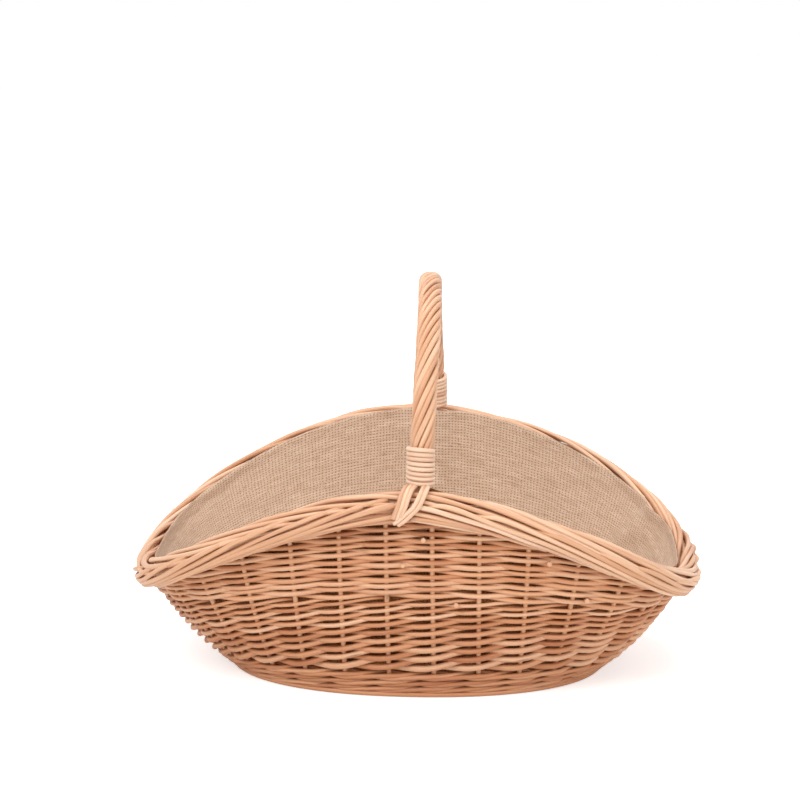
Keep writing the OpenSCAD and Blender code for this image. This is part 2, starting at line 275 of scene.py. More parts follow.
def rod_mesh(points, thickness, tones, sides, closed):
    """A round rod as a mesh, its UV map in metres along and round it and its tone for each ring."""
    curve = bpy.data.curves.new("rod", "CURVE")
    curve.dimensions = "3D"
    curve.bevel_depth = 1
    curve.bevel_resolution = (sides - 4) // 2
    curve.use_fill_caps = not closed
    curve.twist_mode = "MINIMUM"
    spline = curve.splines.new("POLY")
    spline.points.add(len(points) - 1)
    spline.use_cyclic_u = closed
    for knot, point, d in zip(spline.points, points, thickness):
        knot.co = (*point, 1)
        knot.radius = d / 2
    holder = bpy.data.objects.new("rod", curve)
    bpy.context.scene.collection.objects.link(holder)
    depsgraph = bpy.context.evaluated_depsgraph_get()
    mesh = bpy.data.meshes.new_from_object(holder.evaluated_get(depsgraph))
    bpy.data.objects.remove(holder)
    bpy.data.curves.remove(curve)
    # The points of the last end cap come first, then those of the first cap, then the rings
    ends = [] if closed else [tones[-1]] * sides + [tones[0]] * sides
    rings = [tone for tone in tones for side in range(sides)]
    layer = mesh.attributes.new("tone", "FLOAT", "POINT")
    layer.data.foreach_set("value", ends + rings)
    bm = bmesh.new()
    bm.from_mesh(mesh)
    bmesh.ops.remove_doubles(bm, verts=bm.verts, dist=weld)
    bm.to_mesh(mesh)
    bm.free()
    length = sum((b - a).length for a, b in zip(points, points[1:]))
    girth = math.pi * max(thickness)
    shift = random.random() * bark_length
    for corner in mesh.uv_layers[0].data:
        corner.uv = (corner.uv[0] * length + shift, corner.uv[1] * girth)
    return mesh


def rod_piece(name, rods, sides=10):
    """One object of many rods. A rod is (points, thicknesses, tone or list of tones, closed)."""
    bm = bmesh.new()
    tones = []
    for points, thickness, tone, closed in rods:
        shades = tone if isinstance(tone, list) else [tone] * len(points)
        mesh = rod_mesh(points, thickness, shades, sides, closed)
        bm.from_mesh(mesh)
        tones += [item.value for item in mesh.attributes["tone"].data]
        bpy.data.meshes.remove(mesh)
    piece = object_of(name, bm)
    attributes = piece.data.attributes
    layer = attributes.get("tone") or attributes.new("tone", "FLOAT", "POINT")
    layer.data.foreach_set("value", tones)
    for face in piece.data.polygons:
        face.use_smooth = len(face.vertices) == 4
    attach(piece, "root")
    return piece


def waver(seed, t, size):
    """A slow natural wander along a rod; each seed has its own line through the noise."""
    return size * noise.noise(Vector((seed * 7.31, t * 0.7, seed * 1.7)))


def shaded(tone, sides):
    """The tones along a rod: browner where it runs behind a stake, out of the light."""
    depth = 0.3 + 0.5 * tone
    return [tone - depth * min(max(-side - 0.5, 0) * 2, 1) for side in sides]


# Materials
def new_material(name):
    material = bpy.data.materials.new(name)
    material.use_nodes = True
    nodes = material.node_tree.nodes
    nodes.clear()
    output = nodes.new("ShaderNodeOutputMaterial")
    shader = nodes.new("ShaderNodeBsdfPrincipled")
    material.node_tree.links.new(shader.outputs["BSDF"], output.inputs["Surface"])
    return material, shader


def connect(tree, socket, value):
    """Set an input to a value, or link another node's socket to it."""
    if isinstance(value, bpy.types.NodeSocket):
        tree.links.new(value, socket)
    else:
        socket.default_value = value


def add(tree, kind, inputs=None, **settings):
    """A shader node with its settings and inputs; an input is a value or another node's socket."""
    node = tree.nodes.new("ShaderNode" + kind)
    for key, value in settings.items():
        setattr(node, key, value)
    for key, value in (inputs or {}).items():
        connect(tree, node.inputs[key], value)
    return node


def colour(hex_code):
    """A linear colour from its sRGB code."""
    parts = [int(hex_code[i:i + 2], 16) / 255 for i in (0, 2, 4)]
    return tuple(c / 12.92 if c < 0.04045 else ((c + 0.055) / 1.055) ** 2.4 for c in parts) + (1,)


def ramp(tree, factor, stops):
    """Colours at rising places from 0 to 1."""
    node = add(tree, "ValToRGB", {"Fac": factor})
    elements = node.color_ramp.elements
    for place, shade in stops[1:-1]:
        elements.new(place)
    for element, (place, shade) in zip(elements, stops):
        element.position = place
        element.color = shade
    return node.outputs["Color"]


def mix(tree, factor, a, b, blend="MIX"):
    node = add(tree, "Mix", data_type="RGBA", blend_type=blend)
    for place, value in ((0, factor), (6, a), (7, b)):
        connect(tree, node.inputs[place], value)
    return node.outputs[2]


def maths(tree, operation, a, b=0.0, c=0.0):
    return add(tree, "Math", {0: a, 1: b, 2: c}, operation=operation).outputs[0]


def remap(tree, value, low, high, start, end):
    """The span of a value from low to high, turned into start to end."""
    span = {"Value": value, "From Min": low, "From Max": high, "To Min": start, "To Max": end}
    return add(tree, "MapRange", span).outputs[0]


def stretched(tree, place, scale):
    return add(tree, "Mapping", {"Vector": place, "Scale": scale}).outputs[0]


def clouds(tree, place, scale, detail):
    return add(tree, "TexNoise", {"Vector": place, "Scale": scale, "Detail": detail}).outputs["Fac"]


def bumps(tree, shader, height, strength, depth):
    bump = add(tree, "Bump", {"Height": height, "Strength": strength, "Distance": depth})
    tree.links.new(bump.outputs[0], shader.inputs["Normal"])


def bark_streaks():
    """Streaks, stains and knots along a peeled rod, from a place in metres along and round it."""
    group = bpy.data.node_groups.new("bark_streaks", "ShaderNodeTree")
    group.interface.new_socket("Place", in_out="INPUT", socket_type="NodeSocketVector")
    for mark in ("Streak", "Stain", "Knot", "Height"):
        group.interface.new_socket(mark, in_out="OUTPUT", socket_type="NodeSocketFloat")
    place = group.nodes.new("NodeGroupInput").outputs["Place"]
    output = group.nodes.new("NodeGroupOutput")
    # Each pattern is long along the rod and narrow round it
    streak = clouds(group, stretched(group, place, (14, 420, 420)), 1.0, 3.0)
    stain = clouds(group, stretched(group, place, (9, 70, 70)), 1.0, 2.0)
    eyes = stretched(group, place, (16, 75, 75))
    cells = add(group, "TexVoronoi", {"Vector": eyes, "Scale": 1.0}, feature="F1")
    knot = remap(group, cells.outputs["Distance"], 0.05, 0.16, 1.0, 0.0)
    height = maths(group, "MULTIPLY_ADD", knot, 0.6, streak)
    for mark, value in (("Streak", streak), ("Stain", stain), ("Knot", knot), ("Height", height)):
        group.links.new(value, output.inputs[mark])
    return group


streaks = bark_streaks()
shade_end = 0.3


def willow(name, shades, rough=0.42, by_uv=True):
    """Peeled buff willow under thin varnish; shades run from the darkest rod to the palest."""
    material, shader = new_material(name)
    tree = material.node_tree
    where = add(tree, "TexCoord")
    if by_uv:
        place = where.outputs["UV"]
        tone = add(tree, "Attribute", attribute_name="tone").outputs["Fac"]
    else:
        # The pattern's length runs up the stake
        upright = {"Vector": where.outputs["Object"], "Rotation": (0, math.pi / 2, 0)}
        place = add(tree, "Mapping", upright).outputs[0]
        tone = clouds(tree, where.outputs["Object"], 14.0, 1.0)
    marks = add(tree, "Group", node_tree=streaks)
    tree.links.new(place, marks.inputs["Place"])
    # A tone below 0 is a rod's length in the shade of a stake, down to the brown at the ramp's start
    scaled = maths(tree, "MULTIPLY_ADD", tone, 1 - shade_end, shade_end)
    stops = [(0.0, colour("8f5026"))]
    for i, shade in enumerate(shades):
        stops.append((shade_end + (1 - shade_end) * i / (len(shades) - 1), colour(shade)))
    base = ramp(tree, scaled, stops)
    lines = maths(tree, "MULTIPLY", marks.outputs["Streak"], 0.55)
    streaked = mix(tree, lines, base, colour("b98560"), "MULTIPLY")
    warm = remap(tree, marks.outputs["Stain"], 0.5, 0.78, 0.0, 0.55)
    stained = mix(tree, warm, streaked, colour("c07a4c"), "MULTIPLY")
    eyed = mix(tree, maths(tree, "MULTIPLY", marks.outputs["Knot"], 0.55), stained, colour("7a4a2c"))
    tree.links.new(eyed, shader.inputs["Base Color"])
    gloss = remap(tree, marks.outputs["Stain"], 0.0, 1.0, rough - 0.08, rough + 0.14)
    tree.links.new(gloss, shader.inputs["Roughness"])
    bumps(tree, shader, marks.outputs["Height"], 0.25, 0.4 * mm)
    shader.inputs["Specular IOR Level"].default_value = 0.45
    shader.inputs["Coat Weight"].default_value = 0.12
    shader.inputs["Coat Roughness"].default_value = 0.28
    return material


thread_pitch = 2.9 * mm
thread_wander = 2.8 * mm


def hessian_threads(tree, place):
    """The height of the crossing threads, and where the holes between them get painted shade, from a place in
    metres.
    """
    wander = add(tree, "TexNoise", {"Vector": place, "Scale": 90.0, "Detail": 2.0}).outputs["Color"]
    shift = {0: wander, 1: (thread_wander, thread_wander, 0)}
    bent = add(tree, "VectorMath", shift, operation="MULTIPLY").outputs[0]
    moved = add(tree, "VectorMath", {0: place, 1: bent}, operation="ADD").outputs[0]
    split = add(tree, "SeparateXYZ", {"Vector": moved})
    across, along = (maths(tree, "SINE", maths(tree, "MULTIPLY", split.outputs[way], math.pi / thread_pitch))
                     for way in ("X", "Y"))
    warp = maths(tree, "ABSOLUTE", across)
    weft = maths(tree, "ABSOLUTE", along)
    crossing = maths(tree, "MULTIPLY", maths(tree, "SIGN", maths(tree, "MULTIPLY", across, along)), 0.18)
    raised_warp = maths(tree, "ADD", warp, crossing)
    raised_weft = maths(tree, "SUBTRACT", weft, crossing)
    threads = maths(tree, "MAXIMUM", raised_warp, raised_weft)
    hole_shade = remap(tree, maths(tree, "MAXIMUM", warp, weft), 0.3, 0.7, 1.0, 0.0)
    return threads, hole_shade


def hessian(name):
    """Plain-woven jute, its threads drawn from the UV map in metres."""
    material, shader = new_material(name)
    tree = material.node_tree
    where = add(tree, "TexCoord")
    place = where.outputs["UV"]
    threads, hole_shade = hessian_threads(tree, place)
    # Thick and thin lengths of thread, along both ways of the cloth
    slub_along = clouds(tree, stretched(tree, place, (60, 700, 1)), 1.0, 2.0)
    slub_up = clouds(tree, stretched(tree, place, (700, 60, 1)), 1.0, 2.0)
    slub = maths(tree, "MULTIPLY_ADD", slub_along, 1.5, maths(tree, "MULTIPLY", slub_up, 0.5))
    jute = [(0.25, colour("b8967b")), (0.5, colour("d2b49b")), (0.75, colour("e6ccb8"))]
    shade = ramp(tree, maths(tree, "MULTIPLY", slub, 0.5), jute)
    fleck = remap(tree, clouds(tree, place, 420.0, 1.0), 0.66, 0.74, 0.0, 0.5)
    flecked = mix(tree, fleck, shade, colour("6e4c35"))
    # Painted shade: the holes between the threads are coloured dark brown
    hole_shaded = mix(tree, maths(tree, "MULTIPLY", hole_shade, 0.8), flecked, colour("6b4c36"))
    specks = add(tree, "TexVoronoi", {"Vector": place, "Scale": 24.0}, feature="F1")
    speck = remap(tree, specks.outputs["Distance"], 0.028, 0.045, 0.85, 0.0)
    specked = mix(tree, speck, hole_shaded, colour("2e1f16"))
    # Painted shade: the side of the cloth that faces the weave is coloured darker, for the shade it lies in
    # behind the rods
    surface = add(tree, "NewGeometry")
    flat_place = {0: where.outputs["Object"], 1: (1, 1, 0)}
    level = add(tree, "VectorMath", flat_place, operation="MULTIPLY").outputs[0]
    turned_out = {0: surface.outputs["Normal"], 1: level}
    facing = add(tree, "VectorMath", turned_out, operation="DOT_PRODUCT").outputs["Value"]
    outside = maths(tree, "GREATER_THAN", facing, 0.04)
    painted_shade = mix(tree, 1.0, specked, colour("dcae7c"), "MULTIPLY")
    tree.links.new(mix(tree, outside, specked, painted_shade), shader.inputs["Base Color"])
    bumps(tree, shader, maths(tree, "MULTIPLY_ADD", slub, 0.5, threads), 0.7, 0.5 * mm)
    shader.inputs["Roughness"].default_value = 0.92
    shader.inputs["Specular IOR Level"].default_value = 0.2
    shader.inputs["Sheen Weight"].default_value = 0.15
    return material


weave_finish = willow("weave_willow_finish", ["c5865a", "d79b6e", "e4ae83", "f0c49f"])
border_finish = willow("border_willow_finish", ["e2b189", "edc19c", "f4cdaa", "f9dcc0"], rough=0.4)
stake_finish = willow("stake_finish", ["d9a67c", "e9bf99"], rough=0.5, by_uv=False)
stick_finish = willow("stick_finish", ["c89b70", "dcb48b"], rough=0.6, by_uv=False)
hessian_finish = hessian("hessian_finish")


def coat(piece, material):
    piece.data.materials.clear()
    piece.data.materials.append(material)


def finish(piece, material):
    coat(piece, material)


# Upsett
foot_row_z = wale_d / 2 + 0.4 * mm
wale_reach = stake_d / 2 + wale_d / 2 + rod_gap


def wale_start(p):
    """How far up the stake the first round lies, clear of the foot row and of the base."""
    slope = stake_arc(p)[3]
    reach_up = wale_reach * math.cos(slope)
    over_foot_row = (foot_row_z - foot_z + reach_up) / math.sin(slope) + wale_pitch
    over_base = (base_thickness + rod_gap + wale_d / 2 - foot_z - reach_up) / math.sin(slope)
    return max(over_foot_row, over_base) - wale_sink


def upsett():
    """Three-rod waling: a rod passes before two stakes, climbing over its neighbours, and behind one."""
    parts = 8
    # Where a rod lies at each stake of three: rows up, and -1 behind the stake or 1 before it
    levels = [(0.5, -1), (0.0, 1), (1.0, 1)]
    rods = []
    for row in range(wale_rounds):
        for q in range(3):
            points = []
            sides = []
            for k in range(stakes * parts):
                t = k / parts
                i = int(t)
                f = (1 - math.cos(math.pi * (t - i))) / 2
                (low, near), (high, far) = (levels[(i + n + q) % 3] for n in (0, 1))
                level = 2 * row + low + (high - low) * (t - i)
                side = near + (far - near) * f
                p = stake_angle(t)
                s = wale_start(p) + level * wale_pitch + waver(row * 3 + q, t * 0.8, 0.6 * mm)
                points.append(off_wall(p, s, side * swing(p, s, wale_d, wale_press)))
                sides.append(side)
            fat = random.uniform(0.97, 1.08)
            thickness = [wale_d * fat * (1 + waver(q + 9, k * 0.1, 0.1)) for k in range(len(points))]
            rods.append((points, thickness, shaded(random.uniform(0, 0.7), sides), True))
    piece = rod_piece("upsett_rods", rods)
    finish(piece, weave_finish)
    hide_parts(*[f"upsett_wale_{row + 1}" for row in range(cad_wale_rows)])


def foot_row():
    """One round that lies on the ground against the feet of the stakes."""
    z = foot_row_z + (foot_rod_d - wale_d) / 2
    points = []
    for k in range(stakes * 3):
        start, way, radius, foot_slope, rim_slope, length = stake_arc(stake_angle(k / 3))
        out = (wale_reach - (foot_z - foot_row_z) * math.cos(foot_slope)) / math.sin(foot_slope)
        points.append(Vector((start.x + out * way.x, start.y + out * way.y, z)))
    piece = rod_piece("foot_rod", [(points, [foot_rod_d] * len(points), 0.4, True)])
    finish(piece, weave_finish)
    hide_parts("upsett_foot_row")


# Siding
rand_start = wale_start(0) + 2 * wale_rounds * wale_pitch - rand_sink


def rand_height(m):
    """How far up the wall a siding rod lies after m stakes; it climbs less as it thins."""
    return rand_start + rand_rise * m - (rand_rise - rand_rise_tip) * m * m / (2 * rand_reach)


def siding():
    """One rod from each stake, climbing to the right, behind one stake and before the next."""
    parts = 6
    rods = []
    for j in range(stakes):
        fat = random.uniform(0.97, 1.08)
        points = []
        thickness = []
        sides = []
        for k in range(rand_reach * parts + 1):
            m = k / parts
            d = (rand_butt_d + (rand_tip_d - rand_butt_d) * (m / rand_reach) ** rand_taper) * fat
            p = stake_angle(j + m)
            s = rand_height(m) + waver(j, m, 1.6 * mm) - rand_settle * math.sin(math.pi * m)
            side = -math.cos(math.pi * m)
            points.append(off_wall(p, s, side * swing(p, s, d, rand_press)))
            thickness.append(d * (1 + waver(j + 50, k * 0.2, 0.1)))
            sides.append(side)
        rods.append((points, thickness, shaded(random.random(), sides), False))
    piece = rod_piece("siding", rods)
    finish(piece, weave_finish)
    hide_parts("siding_rods")


# Packing
packing_start = rand_height(rand_reach) + (rand_tip_d + packing_d) / 2 + packing_gap


def arc_length(p):
    return stake_arc(p)[5]


packing_rows = int((arc_length(90) - packing_room - packing_start) / packing_pitch)


def packing_half(row):
    """How many stakes a row of packing passes to each side of the middle before the rim cuts it off."""
    height = packing_start + row * packing_pitch
    fits = [h for h in range(quarter - 1) if arc_length(90 - (h + 0.5) * step) - packing_room > height]
    return max(fits, default=0) + 1


def packing(name, middle):
    """Short rows that fill the high middle of one side."""
    parts = 6
    rods = []
    for row in range(packing_rows):
        half = packing_half(row)
        fat = random.uniform(0.86, 1.14)
        points = []
        thickness = []
        sides = []
        for k in range((2 * half + 1) * parts + 1):
            h = -half - 1 + k / parts
            p = middle + (h + 0.5) * step
            turn = math.pi * (h + row)
            s = packing_start + row * packing_pitch + waver(row + middle, h * 0.55, 2.6 * mm)
            s = min(s + packing_settle * math.sin(turn), arc_length(p) - packing_end)
            side = math.cos(turn)
            points.append(off_wall(p, s, side * swing(p, s, packing_d, packing_press)))
            thickness.append(packing_d * fat * (1.05 + waver(row + 70, k * 0.15, 0.16)))
            sides.append(side)
        rods.append((points, thickness, shaded(random.random(), sides), False))
    piece = rod_piece(name + "_rods", rods)
    finish(piece, weave_finish)
    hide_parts(name)


def cut_ends():
    """Butt ends of joined rods that stand out of the weave at the front."""
    # Each as (angle, mm up the wall)
    places = [(269.5, 167), (274, 196), (281, 121), (300, 178), (309, 136), (308.5, 182)]
    way = Vector((0.12, -1, 0.16)).normalized()
    rods = []
    for p, height in places:
        root = off_wall(p - 1, height * mm, 1.5 * mm)
        points = [root + way * k * cut_end_step for k in range(4)]
        rods.append((points, [cut_end_d] * len(points), 1.0, False))
    piece = rod_piece("cut_rod_ends", rods)
    finish(piece, weave_finish)


# Ways of the border's rods through its section, as (stakes passed, mm out, mm up)
upper_way = [(-1.2, -3, -11), (0, -5, 1), (1, -4.6, 8.6), (2, -0.2, 13.6), (3, 6, 13.2), (4, 11.2, 9.4),
             (5, 12.4, 3.6), (5.8, 9, -3)]
lower_way = [(-1, 1, -8), (-0.5, 5.4, -4), (-0.1, 9.5, 1.5), (0.25, 13.8, 6), (0.55, 15.9, 6.2), (1, 16.2, 3),
             (2, 15.6, -3.2), (3, 14, -8.6), (4, 11, -12.6), (4.8, 5.5, -14)]
left_way = [(-0.75, 8, 9), (-0.3, 13.4, 7.6), (0.1, 15.8, 4.8), (0.7, 15.8, -0.4), (1.4, 15.4, -4.6),
            (2.4, 14.2, -8.8), (3.6, 11.4, -12.4), (4.4, 6, -14)]
tip_way = [(-0.25, 15.6, 7.5), (0.1, 16.4, 4.6)] + left_way[3:]
# Rods that lie still in the section, as (mm out, mm up, mm thick)
core = [(3.4, 5, 8), (9.6, 0.4, 7), (10.4, -6, 6)]
# Where the lower set meets at the front, in degrees, and the stakes where its rods come out
meeting = 270.5
right_from = 23.5
right_rods = 30
left_from = 30.7
left_rods = 12
tips_from = (25.7, 26.55)


def way_place(way, m):
    """The smooth place of a rod in the border's section after m stakes."""
    i = max(k for k in range(len(way) - 1) if way[k][0] <= m or k == 0)
    knots = [way[min(max(i + k, 0), len(way) - 1)] for k in (-1, 0, 1, 2)]
    a, b, c, d = (Vector(knot[1:]) for knot in knots)
    span = knots[2][0] - knots[1][0]
    slope_b = (c - a) / (knots[2][0] - knots[0][0]) * span
    slope_c = (d - b) / (knots[3][0] - knots[1][0]) * span
    f = (m - knots[1][0]) / span
    return ((2 * f ** 3 - 3 * f * f + 1) * b + (f ** 3 - 2 * f * f + f) * slope_b
            + (3 * f * f - 2 * f ** 3) * c + (f ** 3 - f * f) * slope_c)


def border_share(p, out, up):
    """What a rod keeps of its out and up at angle p: less at the ends and at the back left."""
    around = p % 360
    sunk = 0.28 * hump(around, 78, 12) - 0.25 * hump(around, 45, 16)
    squat = squat_below * endness(p) if up < 0 else squat_above * endness(p) + sunk
    back_left = max(0, math.sin(math.radians((around - 95) * 2.1))) if 95 < around < 180 else 0
    return 1 - back_thinning * back_left if out > 0 else 1, 1 - squat


def border_rod(start, way, d, turn=1, tip=1.0, least=-360, most=720, pale=1.0):
    """One rod of the border from its stake; turn is 1 to the right and -1 to the left."""
    parts = 9
    first = way[0][0]
    span = way[-1][0] - first
    count = round(span * parts)
    seed = start * 1.3 + d / mm
    fat = random.uniform(0.9, 1.12)
    late = random.uniform(-0.2, 0.2)
    speed = random.uniform(0.9, 1.12)
    tone = random.random() * pale
    points = []
    thickness = []
    for k in range(count + 1):
        m = first + span * k / count
        p = (start + turn * (m * speed + late)) * step
        if not least <= p <= most:
            continue
        place = way_place(way, m) * mm
        keep_out, keep_up = border_share(p, place.x, place.y)
        out = place.x * keep_out + waver(seed + 40, m, 1.1 * mm)
        up = place.y * keep_up + waver(seed, m * 1.1, 2.3 * mm)
        point, outward, upward = border_frame(p)
        points.append(point + outward * out + upward * up)
        sharp = min(tip + (1 - tip) * k / 4, 1)
        taper = 1.06 - 0.2 * (k / count) ** 1.5 + waver(seed, k * 0.2, 0.1)
        thickness.append(d * fat * sharp * taper)
    return points, thickness, tone, False


def border_core():
    """The bent-down ends of the stakes, which lie side by side inside the border."""
    rods = []
    for out, up, d in core:
        points = []
        for k in range(stakes * 4):
            p = k / 4 * step
            point, outward, upward = border_frame(p)
            points.append(point + outward * out * mm + upward * up * mm * (1 - 0.3 * endness(p)))
        rods.append((points, [d * mm] * len(points), 0.2, True))
    piece = rod_piece("border_core_rods", rods)
    finish(piece, border_finish)


def border():
    """Long rods roll over the rim; a second set comes out under them and sweeps down to the lower edge."""
    upper = [border_rod(j, upper_way, upper_d) for j in range(stakes)]
    piece = rod_piece("border_upper_rods", upper, sides=12)
    finish(piece, border_finish)
    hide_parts("border_plait")
    lower = [border_rod(right_from + j, lower_way, lower_d, least=meeting) for j in range(right_rods)]
    for j in range(left_rods):
        lower.append(border_rod(left_from - j, left_way, lower_d, turn=-1, most=meeting - 1, pale=0.2))
    for stake in tips_from:
        lower.append(border_rod(stake, tip_way, upper_d, turn=-1, tip=0.35, pale=0.6))
    piece = rod_piece("border_lower_rods", [rod for rod in lower if len(rod[0]) > 6], sides=12)
    finish(piece, border_finish)
    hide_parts("border_trac")


# Handle
border_crown = rim_top(handle_x) + 0.8 * mm
bound_angle = math.degrees(math.asin((border_crown - arch_z) / arch_r))
coil_lift = 3.1 * mm


def coil_angle(turn):
    return bound_angle + math.degrees((coil_lift + turn * whipping_pitch) / arch_r)


rope_angle = coil_angle(whipping_turns) + math.degrees(whipping_room / arch_r)


def arch_frame(degrees):
    """The bow's centre line, the way out of the arch and the way along it."""
    a = math.radians(degrees)
    centre = Vector((handle_x, -arch_r * math.cos(a), arch_z + arch_r * math.sin(a)))
    outward = Vector((0, -math.cos(a), math.sin(a)))
    along = Vector((0, math.sin(a), math.cos(a)))
    return centre, outward, along


def round_arch(a, turn):
    """The way out from the arch's centre line, turn radians round it."""
    return arch_frame(a)[1] * math.cos(turn) + Vector((1, 0, 0)) * math.sin(turn)


def handle_bend(degrees):
    """The bow isn't quite in one plane: its front leg stands to the right, its back leg to the left."""
    a = math.radians(degrees)
    height = max(0, math.sin(a))
    return Vector((handle_lean * height ** 2 + handle_twist * math.sin(2 * a) * height ** 0.3, 0, 0))


def handle_bow():
    """The thick rod inside the handle, down through the weave to the base on both sides."""
    count = 120
    points = []
    for k in range(count + 1):
        a = handle_foot + (180 - 2 * handle_foot) * k / count
        points.append(arch_frame(a)[0] + handle_bend(a))
    piece = rod_piece("bow_rod", [(points, [2 * bow_r] * len(points), 0.3, False)], sides=16)
    finish(piece, border_finish)
    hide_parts("handle_bow")


def handle_rope():
    """Strands that twist round the bow from foot to foot and are drawn in at the whippings."""
    low = bound_angle
    high = 180 - bound_angle
    count = 150
    rods = []
    for n in range(strands):
        points = []
        thickness = []
        for k in range(count + 1):
            a = low + (high - low) * k / count
            inside = min(a - low, high - a)
            tight = ease((inside - (rope_angle - low) + 2) / 6)
            radius = bound_strand_r * (1 - tight) + (strand_r - strand_d / 2) * tight
            twist = 2 * math.pi * (n / strands + math.radians(a) * arch_r / strand_turn)
            twist += waver(n + 60, a * 0.05, 0.2)
            # The hand has worn the top a little flat
            radius *= power_sum(twist, 2 + 1.2 * max(0, math.sin(math.radians(a))) ** 8)
            radius += waver(n + 31, a * 0.06, 0.6 * mm)
            points.append(arch_frame(a)[0] + round_arch(a, twist) * radius + handle_bend(a))
            thickness.append(strand_d * (0.82 + 0.18 * tight) * (1 + waver(n + 5, a * 0.1, 0.12)))
        rods.append((points, thickness, random.uniform(0, 0.6), False))
    piece = rod_piece("rope_strands", rods, sides=12)
    finish(piece, border_finish)
    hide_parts("handle_rope", "bound_strands")


def whipping(name, mirror):
    """Turns of a thin rod laid tight over the strands, from half a turn below the first coil."""
    parts = 28
    radius = bound_r + whipping_d / 2 - whipping_press
    points = []
    thickness = []
    for k in range(-parts // 2, round((whipping_turns + 0.4) * parts) + 1):
        turn = k / parts
        a = coil_angle(turn)
        centre, outward, along = arch_frame(a)
        spin = round_arch(a, -2 * math.pi * turn) * (radius + waver(3, turn * 2, 0.4 * mm))
        point = centre + spin + along * waver(8, turn * 1.3, 0.5 * mm)
        points.append(Vector((point.x, point.y * mirror, point.z)))
        thickness.append(whipping_d * (1 + waver(4, turn * 2, 0.08)))
    piece = rod_piece(name + "_rod", [(points, thickness, 1.0, False)], sides=12)
    finish(piece, border_finish)
    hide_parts(name)


tail_rest = border_out + tail_d / 2 + 0.4 * mm
tail_crown = border_top + tail_d / 2 + 0.4 * mm
# Each tail as (mm right of the handle at its start, the same at its end, length), and their common way down
long_tails = [(-12.6, -27.2, 0.93), (-8, -22.8, 0.97), (-3.4, -18.4, 0.9)]
curved_tails = [(5.2, -26.5, 1.08), (9.8, -22, 1.14)]
tail_way = [(-1.6 * mm, tail_crown), (7.5 * mm, tail_crown - 0.5 * mm), (15.6 * mm, 14.6 * mm),
            (tail_rest, 6 * mm), (tail_rest, -1 * mm), (tail_rest - 0.4 * mm, -9 * mm),
            (tail_rest - 2 * mm, -15 * mm)]


def tails(name, mirror):
    """The ends of the strands, which come out under the whipping and lie over the border."""
    parts = 6
    full = len(tail_way) - 2
    rods = []
    for tails_here, bend in ((long_tails, 1.0), (curved_tails, 2.0)):
        for start, end, length in tails_here:
            points = []
            for k in range(full * parts + 1):
                m = k / parts * length
                x = handle_x + (start + (end - start) * (m / full / length) ** bend) * mm
                p = 270 + math.degrees(math.asin(x / stake_half_length)) * tail_spread
                place = smooth_way(tail_way, m)
                point, outward, upward = border_frame(p)
                spot = point + outward * place.x + upward * place.y
                points.append(Vector((spot.x, spot.y * mirror, spot.z)))
            rods.append((points, [tail_d] * len(points), random.uniform(0.3, 1), False))
    piece = rod_piece(name + "_rods", rods, sides=12)
    finish(piece, border_finish)
    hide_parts(name)


# Lining
def leg_bulge(point, s, length):
    """How far the cloth stands in over a leg of the bow."""
    return lining_bulge * hump(point.x, handle_x + 2 * mm, 19 * mm) * ease((s / length - 0.42) / 0.2)


def cloth_height(u, v):
    """Slight folds in the cloth, deeper towards the seam at the rim."""
    t = 2 * math.pi * u
    ring = Vector((math.cos(t), math.sin(t), 0))
    fold = 2.0 * mm * noise.noise(ring * 3.5 + Vector((0, 2.5, v * 7)))
    ripple = 1.1 * mm * noise.noise(ring * 7.3 + Vector((7.1, 0, v * 20))) * (0.4 + v)
    return fold + ripple


def corner_fold(p, v):
    """A slanting fold where the cloth turns the corner at the back right, sharper on its left."""
    across = p - 32 - 20 * (1 - v)
    rise = min(max((v - 0.5) / 0.2, 0), 1)
    return 8 * mm * rise * hump(across, 0, 1.6 if across > 0 else 5)


def side_place(p, u, v):
    """The cloth from its hem on the floor up the wall, and over the rim on the inside of the border."""
    length = arc_length(p)
    if v < hem_share:
        edge = base_point(p)
        hem = edge * (1 - (foot_out + 4 * mm) / edge.length)
        low = Vector((hem.x, hem.y, lining_floor_z + lining_t + 0.5 * mm))
        high = off_wall(p, foot_share * length, -lining_clear - 0.2 * mm)
        return low.lerp(high, v / hem_share)
    climb = (v - hem_share) / (1 - hem_share)
    s = length * foot_share + (length * (1 - foot_share) + lining_over) * climb
    folds = abs(cloth_height(u, v)) * v + corner_fold(p, v)
    inward = lining_clear + leg_bulge(off_wall(p, s, 0), s, length) + folds
    turned = ease((s - length + lining_over) / lining_turn)
    point, outward, upward = border_frame(p)
    above = point + upward * (s - length) - outward * (inward + 1.2 * mm - 1.4 * mm * turned)
    return off_wall(p, min(s, length), -inward).lerp(above, turned)


def cloth_piece(name, bm):
    """A sheet of hessian from its middle surface, and its area."""
    area = sum(face.calc_area() for face in bm.faces)
    piece = object_of(name, bm)
    for face in piece.data.polygons:
        face.use_smooth = True
    thicken = piece.modifiers.new("cloth", "SOLIDIFY")
    thicken.thickness = cloth_t
    thicken.offset = 0
    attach(piece, "root")
    finish(piece, hessian_finish)
    return piece, area


def lining_side():
    bm = bmesh.new()
    bmesh.ops.create_grid(bm, x_segments=288, y_segments=60, size=0.5, calc_uvs=False)
    uv = bm.loops.layers.uv.new("UVMap")
    places = {}
    for vert in bm.verts:
        u = vert.co.x + 0.5
        v = vert.co.y + 0.5
        places[vert] = (u * lining_girth, v * lining_height)
        vert.co = side_place(360 * u, u, v)
    for face in bm.faces:
        for loop in face.loops:
            loop[uv].uv = places[loop.vert]
    bmesh.ops.remove_doubles(bm, verts=bm.verts, dist=0.05 * mm)
    bmesh.ops.recalc_face_normals(bm, faces=bm.faces)
    piece, area = cloth_piece("lining_side_cloth", bm)
    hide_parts("lining_side")


